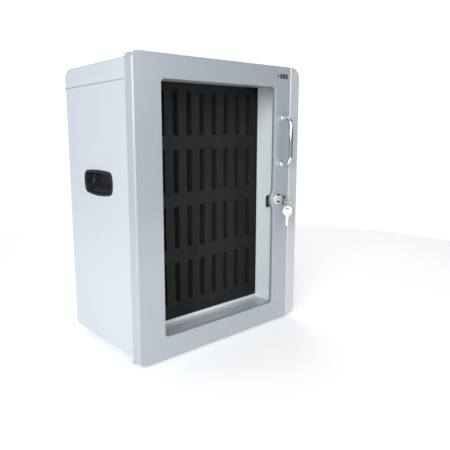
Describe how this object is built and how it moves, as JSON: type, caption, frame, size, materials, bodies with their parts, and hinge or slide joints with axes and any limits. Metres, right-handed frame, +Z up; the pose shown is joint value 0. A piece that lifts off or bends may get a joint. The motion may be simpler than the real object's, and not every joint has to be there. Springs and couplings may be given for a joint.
{
  "type": "phone charging kiosk",
  "caption": "Tabletop charging cabinet with a lockable windowed door, a foam rack of upright phone slots, side grips, rear fans and a mains inlet.",
  "frame": {"origin": "on the supporting surface, under the middle of the whole object's box", "axes": "+Z up, the door faces -Y, +X to the right seen from the front"},
  "size_m": [0.498, 0.3367, 0.645],
  "materials": {
    "case_plastic": "fine satin moulded plastic, pale blue-grey",
    "silver_paint": "satin silver-grey paint",
    "post_paint": "satin light grey paint",
    "liner_paint": "semi-gloss light grey paint",
    "black_foam": "closed-cell foam, matt black",
    "black_plastic": "satin black moulded plastic",
    "black_rubber": "matt black rubber",
    "chrome": "polished chrome plate",
    "nickel": "nickel plate, lightly scratched",
    "zinc_steel": "bright zinc-plated sheet and screws",
    "clear_acrylic": "clear polished acrylic",
    "circuit_board": "green circuit board with sockets"
  },
  "bodies": {
    "root": {"base_panel": "case_plastic", "cable_plate": "zinc_steel", "charger_strip_1": "circuit_board", "charger_strip_2": "circuit_board", "charger_strip_3": "circuit_board", "charger_strip_4": "circuit_board", "fan_frame_left": "black_plastic", "fan_frame_right": "black_plastic", "floor_screw_left": "zinc_steel", "floor_screw_right": "zinc_steel", "foam_row_1": "black_foam", "foam_row_2": "black_foam", "foam_row_3": "black_foam", "foam_row_4": "black_foam", "foam_sill": "liner_paint", "foot_1": "black_rubber", "foot_2": "black_rubber", "foot_3": "black_rubber", "foot_4": "black_rubber", "front_frame": "liner_paint", "front_post": "post_paint", "hinge_bracket_high": "zinc_steel", "hinge_bracket_low": "zinc_steel", "left_grip": "black_plastic", "left_side_panel": "case_plastic", "liner_ceiling": "liner_paint", "liner_floor": "liner_paint", "liner_left": "liner_paint", "liner_right": "liner_paint", "mains_inlet": "black_plastic", "power_supply_left": "zinc_steel", "power_supply_right": "zinc_steel", "rear_panel": "case_plastic", "rear_screw_1": "zinc_steel", "rear_screw_2": "zinc_steel", "rear_screw_3": "zinc_steel", "rear_screw_4": "zinc_steel", "right_grip": "black_plastic", "right_side_panel": "case_plastic", "switch_housing": "black_plastic", "top_cover": "case_plastic"},
    "door": {"door_shell": "silver_paint", "window_gasket": "black_rubber", "window_pane": "clear_acrylic", "pane_retainer": "black_plastic", "pull_handle": "chrome", "handle_screw_high": "zinc_steel", "handle_screw_low": "zinc_steel", "hinge_leaf_high": "zinc_steel", "hinge_leaf_low": "zinc_steel", "lock_barrel": "chrome", "lock_nut": "zinc_steel"},
    "lock": {"lock_plug": "chrome", "lock_cam": "zinc_steel", "lock_key": "nickel"},
    "keys": {"key_ring": "nickel", "spare_key": "nickel"},
    "rocker": {"rocker_switch": "black_plastic"},
    "fan_left": {"fan_rotor_left": "black_plastic"},
    "fan_right": {"fan_rotor_right": "black_plastic"}
  },
  "joints": [
    {"name": "door_swing", "type": "hinge", "parent": "root", "child": "door", "pos_m": [-0.2455, -0.10445, 0.32], "axis": [0, 0, -1], "range_deg": [0, 100]},
    {"name": "lock_turn", "type": "hinge", "parent": "door", "child": "lock", "pos_m": [0.1736, -0.13105, 0.3233], "axis": [0, -1, 0], "range_deg": [0, 90]},
    {"name": "keys_swing", "type": "hinge", "parent": "door", "child": "keys", "pos_m": [0.1736, -0.15705, 0.3233], "axis": [1, 0, 0], "range_deg": [-15, 15]},
    {"name": "rocker_tilt", "type": "hinge", "parent": "root", "child": "rocker", "pos_m": [-0.085, 0.15995, 0.09], "axis": [1, 0, 0], "range_deg": [0, 18]},
    {"name": "fan_left_spin", "type": "hinge", "parent": "root", "child": "fan_left", "pos_m": [-0.105, 0.15545, 0.505], "axis": [0, 1, 0], "continuous": true},
    {"name": "fan_right_spin", "type": "hinge", "parent": "root", "child": "fan_right", "pos_m": [0.105, 0.15545, 0.505], "axis": [0, 1, 0], "continuous": true}
  ]
}
